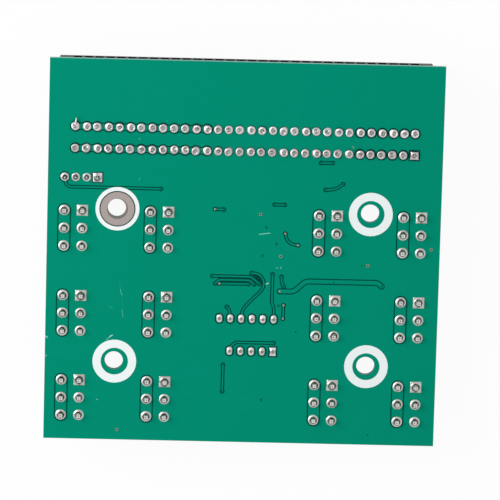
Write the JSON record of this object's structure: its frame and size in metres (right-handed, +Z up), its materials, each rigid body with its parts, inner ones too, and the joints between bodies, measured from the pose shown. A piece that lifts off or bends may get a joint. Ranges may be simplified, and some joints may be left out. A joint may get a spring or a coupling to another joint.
{
  "type": "power supply breakout board",
  "caption": "Green breakout board for a server power supply: a card-edge slot, six-way power headers, a small voltage display and a signal header, shown solder side up.",
  "frame": {"origin": "below the centre of the circuit board, on the plane of the power headers' mouths that the board stands on", "axes": "+Z up, out of the solder side; +Y toward the card-edge slot's mouth; +X toward the header column on the right when the solder side is seen with the slot at the top"},
  "size_m": [0.0918, 0.09, 0.0159],
  "materials": {
    "green_solder_mask": "semi-gloss solder mask over copper and glass epoxy",
    "white_ink": "screen-printed ink",
    "tinned_copper": "hot-air levelled tin",
    "solder": "bright solder",
    "tinned_pins": "tin-plated",
    "gold_contacts": "gold-flashed",
    "black_slot_plastic": "moulded glass-filled nylon",
    "black_header_plastic": "moulded nylon",
    "display_black": "moulded, with a printed face",
    "display_diffuser": "cast milky epoxy",
    "chip_epoxy": "moulded epoxy",
    "resistor_glaze": "glazed",
    "capacitor_ceramic": "fired ceramic"
  },
  "bodies": {
    "root": {"circuit_board": "green_solder_mask", "printed_rings": "white_ink", "ground_land": "tinned_copper", "tinned_vias": "tinned_copper", "slot_housing": "black_slot_plastic", "slot_contacts_near": "gold_contacts", "slot_contacts_far": "gold_contacts", "slot_solder_near": "solder", "slot_solder_far": "solder", "power_solder_row_1": "solder", "power_solder_row_2": "solder", "power_solder_row_3": "solder", "display_case": "display_black", "display_segments": "display_diffuser", "display_pins": "tinned_pins", "display_solder": "solder", "signal_header_base": "black_header_plastic", "signal_pins": "gold_contacts", "signal_solder": "solder", "meter_chip": "chip_epoxy", "meter_chip_leads": "tinned_pins", "regulator": "chip_epoxy", "regulator_leads": "tinned_pins", "resistors": "resistor_glaze", "capacitors": "capacitor_ceramic", "chip_end_caps": "tinned_pins", "power_header_01": "black_header_plastic", "power_header_02": "black_header_plastic", "power_header_03": "black_header_plastic", "power_header_04": "black_header_plastic", "power_header_05": "black_header_plastic", "power_header_06": "black_header_plastic", "power_header_07": "black_header_plastic", "power_header_08": "black_header_plastic", "power_header_09": "black_header_plastic", "power_header_10": "black_header_plastic", "power_header_11": "black_header_plastic", "power_header_12": "black_header_plastic", "power_pins_01": "tinned_pins", "power_pins_02": "tinned_pins", "power_pins_03": "tinned_pins", "power_pins_04": "tinned_pins", "power_pins_05": "tinned_pins", "power_pins_06": "tinned_pins", "power_pins_07": "tinned_pins", "power_pins_08": "tinned_pins", "power_pins_09": "tinned_pins", "power_pins_10": "tinned_pins", "power_pins_11": "tinned_pins", "power_pins_12": "tinned_pins"}
  },
  "joints": []
}
